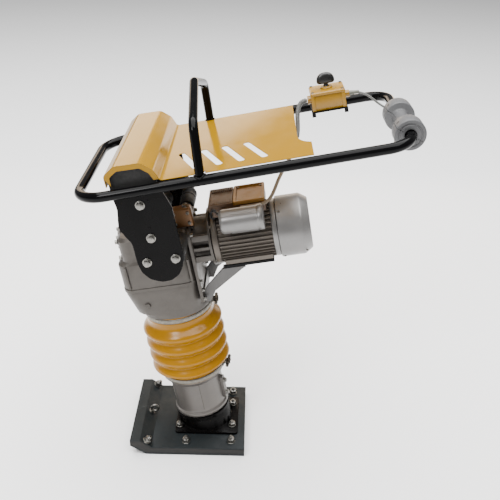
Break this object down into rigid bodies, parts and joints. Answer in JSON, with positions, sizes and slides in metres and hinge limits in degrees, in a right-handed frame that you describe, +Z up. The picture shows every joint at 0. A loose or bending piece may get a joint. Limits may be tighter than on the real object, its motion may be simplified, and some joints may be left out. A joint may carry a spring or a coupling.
{
  "type": "tamping rammer",
  "caption": "Electric tamping rammer: ground plate, leaning spring leg in rubber bellows, crankcase with finned motor, tube handle with cover, lifting bail and transport roller.",
  "frame": {"origin": "middle of the foot plate's flat underside", "axes": "+Z up, +X to the rear where the operator stands, +Y to the machine's right-hand side"},
  "size_m": [0.8177, 0.4404, 1.0637],
  "materials": {
    "worn_steel": "matte",
    "core": "matte",
    "black_paint": "gloss",
    "zinc": "satin",
    "cast": "matte",
    "silver_cast": "satin",
    "yellow_paint": "gloss",
    "yellow_rubber": "satin",
    "black_rubber": "matte",
    "steel": "satin",
    "grey_plastic": "matte",
    "black_plastic": "satin",
    "tan_plastic": "satin",
    "yellow_plastic": "satin",
    "cable": "matte"
  },
  "bodies": {
    "foot": {"foot_sole": "worn_steel", "foot_core": "core", "foot_top_plate": "worn_steel", "foot_stud_1": "zinc", "foot_stud_2": "zinc", "foot_stud_3": "zinc", "foot_stud_4": "zinc", "foot_stud_5": "zinc", "foot_stud_6": "zinc", "lashing_ring": "zinc", "base_flange": "black_paint", "lower_cylinder": "silver_cast", "sight_plug": "steel", "spring_tube": "steel", "lower_spring": "steel", "upper_spring": "steel", "lower_clamp": "zinc", "bellows": "yellow_rubber"},
    "upper_unit": {"upper_clamp": "zinc", "guide_sleeve": "steel", "crankcase_lower": "cast", "crankcase_upper": "cast", "front_cover": "silver_cast", "gear_case_cap": "cast", "gear_case_cover": "cast", "crank_bearing": "steel", "front_end_bell": "silver_cast", "rear_end_bell": "silver_cast", "front_motor_bearing": "steel", "rear_motor_bearing": "steel", "stator_housing": "silver_cast", "fan_cowl": "grey_plastic", "capacitor_housing": "silver_cast", "terminal_box": "tan_plastic", "terminal_lid": "yellow_plastic", "motor_bracket": "black_paint", "rubber_buffer_1": "black_rubber", "rubber_buffer_2": "black_rubber", "rubber_buffer_3": "black_rubber", "rubber_buffer_4": "black_rubber", "side_plate_left": "black_paint", "side_plate_right": "black_paint", "handle_frame": "black_paint", "lifting_bail": "black_paint", "cover_sheet": "yellow_paint", "switch_box": "yellow_plastic", "switch_lid": "yellow_plastic", "motor_lead": "cable", "supply_lead": "cable", "lead_hank": "cable", "supply_plug": "black_plastic"},
    "crank": {"crank_gear": "steel"},
    "rod": {"connecting_rod": "steel"},
    "piston": {"piston": "steel", "wrist_pin": "steel"},
    "rotor": {"motor_rotor": "steel", "cooling_fan": "black_plastic"},
    "knob": {"switch_knob": "black_plastic"},
    "roller": {"roller_half_a": "grey_plastic", "roller_half_b": "grey_plastic"}
  },
  "joints": [
    {"name": "ram_stroke", "type": "slide", "parent": "foot", "child": "upper_unit", "axis": [-0.1834, 0, 0.983], "range_m": [0, 0.055], "deforming": ["bellows"]},
    {"name": "piston_stroke", "type": "slide", "parent": "upper_unit", "child": "piston", "axis": [-0.1834, 0, 0.983], "range_m": [-0.052, 0], "deforming": ["lower_spring", "upper_spring"]},
    {"name": "rod_swing", "type": "hinge", "parent": "piston", "child": "rod", "pos_m": [-0.04575, 0, 0.39982], "axis": [0.983, 0, 0.1834], "range_deg": [-9.5, 9.5]},
    {"name": "crank_spin", "type": "hinge", "parent": "upper_unit", "child": "crank", "pos_m": [-0.06978, 0, 0.5286], "axis": [0.983, 0, 0.1834], "continuous": true},
    {"name": "rotor_spin", "type": "hinge", "parent": "upper_unit", "child": "rotor", "pos_m": [-0.08629, 0, 0.61708], "axis": [0.983, 0, 0.1834], "continuous": true},
    {"name": "switch_turn", "type": "hinge", "parent": "upper_unit", "child": "knob", "pos_m": [0.33598, 0.1585, 1.00586], "axis": [-0.2002, 0, 0.9798], "range_deg": [0, 90]},
    {"name": "roller_spin", "type": "hinge", "parent": "upper_unit", "child": "roller", "pos_m": [0.50401, -0.0555, 0.98028], "axis": [0, 1, 0], "continuous": true}
  ],
  "couplings": [
    {"joint": "rotor_spin", "follows": "crank_spin", "ratio": -5}
  ]
}
